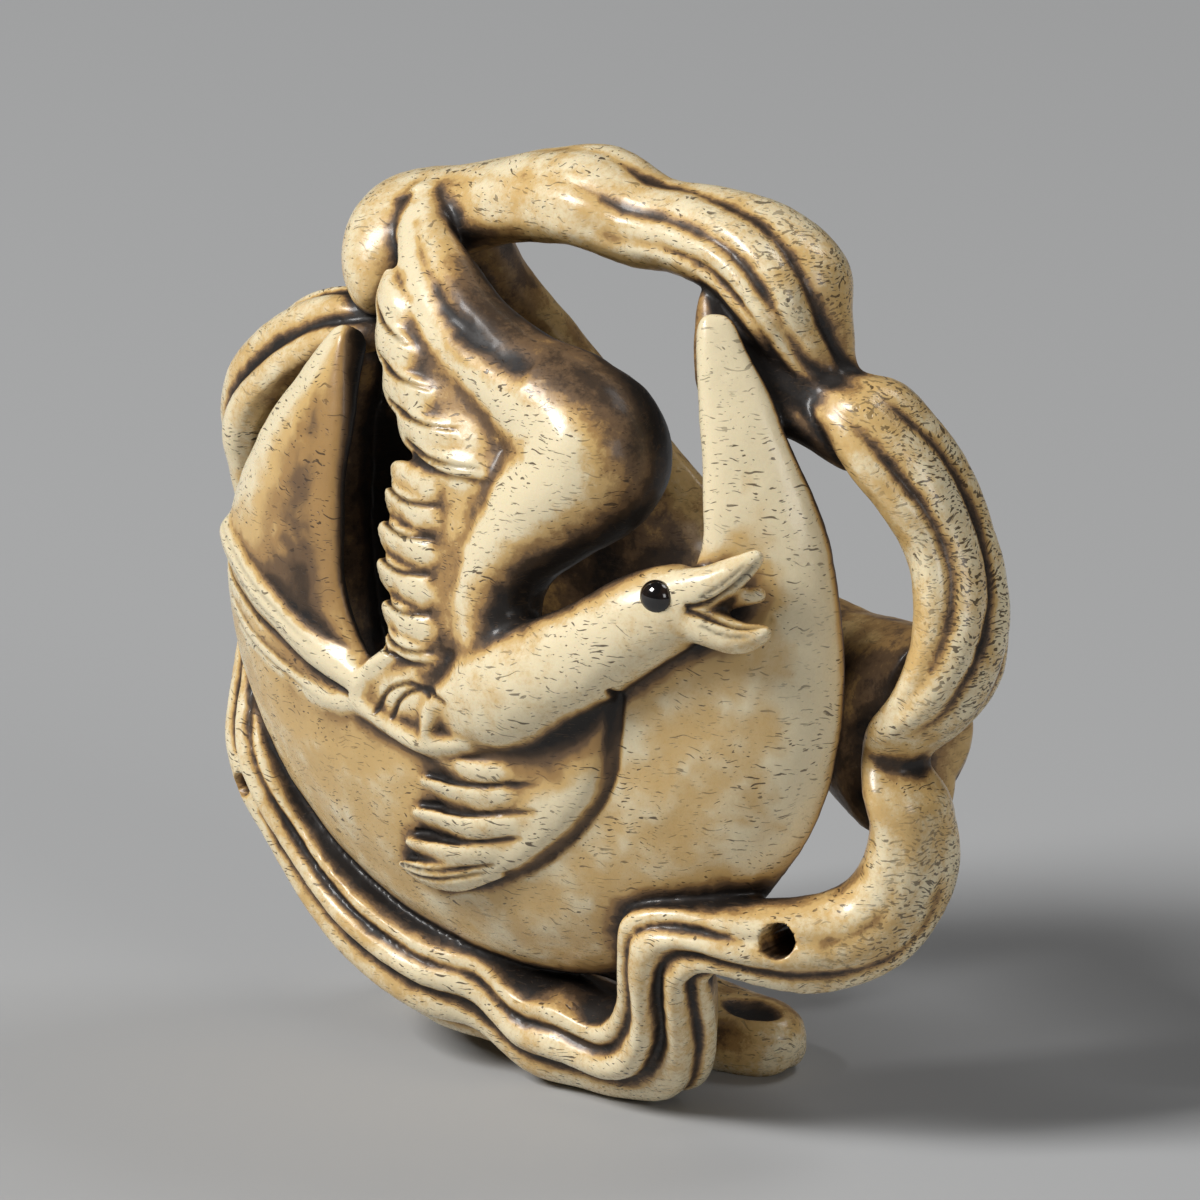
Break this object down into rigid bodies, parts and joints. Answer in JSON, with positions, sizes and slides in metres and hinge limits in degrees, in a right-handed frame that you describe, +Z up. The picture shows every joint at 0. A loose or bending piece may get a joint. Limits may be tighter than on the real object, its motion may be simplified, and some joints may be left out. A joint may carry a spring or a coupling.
{
  "type": "netsuke",
  "caption": "Openwork netsuke of a crying bird in flight across a crescent moon, ringed by grooved bands of cloud, for a cord's end.",
  "frame": {"origin": "middle of the width and depth, on the surface that the netsuke stands on", "axes": "+Z up through the knot of cloud at the top, -Y towards the bird and the moon, +X to the bird's beak"},
  "size_m": [0.0444, 0.0245, 0.0461],
  "materials": {
    "antler": "hand-polished stained antler",
    "black_inlay": "gloss"
  },
  "bodies": {
    "root": {"carved_antler": "antler", "eye_inlay": "black_inlay"}
  },
  "joints": []
}
